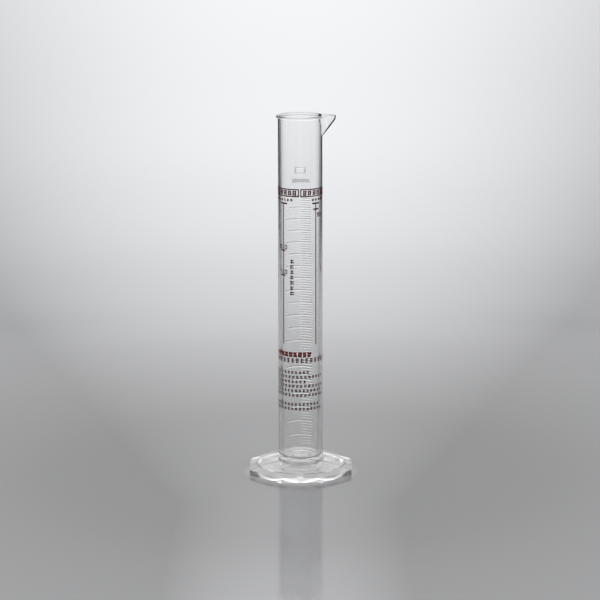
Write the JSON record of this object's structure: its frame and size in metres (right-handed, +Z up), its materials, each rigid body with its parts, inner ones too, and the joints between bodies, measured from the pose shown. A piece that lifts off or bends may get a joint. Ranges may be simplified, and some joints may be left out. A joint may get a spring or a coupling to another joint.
{
  "type": "graduated cylinder",
  "caption": "Tall clear plastic measuring cylinder with a beaded rim, a V-shaped pouring lip, moulded graduations, a red printed scale and an octagonal foot.",
  "frame": {"origin": "centre of the foot's underside, on the surface that the cylinder stands on", "axes": "+Z up along the tube, +X towards the pouring lip, -Y towards the printed side"},
  "size_m": [0.0728, 0.073, 0.2553],
  "materials": {
    "clear_tube": "gloss",
    "clear_foot": "gloss",
    "red_ink": "satin"
  },
  "bodies": {
    "root": {"measuring_tube": "clear_tube", "octagonal_foot": "clear_foot", "column_label_print": "red_ink", "edge_label_print": "red_ink", "left_caption_print": "red_ink", "left_heading_frame": "red_ink", "left_heading_print": "red_ink", "left_scale_line": "red_ink", "left_scale_lower_number": "red_ink", "left_scale_upper_number": "red_ink", "note_line_1": "red_ink", "note_line_2": "red_ink", "note_line_3": "red_ink", "note_line_4": "red_ink", "note_line_5": "red_ink", "note_line_6": "red_ink", "note_line_7": "red_ink", "note_line_8": "red_ink", "notes_start_mark": "red_ink", "right_caption_print": "red_ink", "right_heading_frame": "red_ink", "right_heading_print": "red_ink", "right_scale_line": "red_ink", "right_scale_number": "red_ink", "subtitle_print": "red_ink", "title_print": "red_ink"}
  },
  "joints": []
}
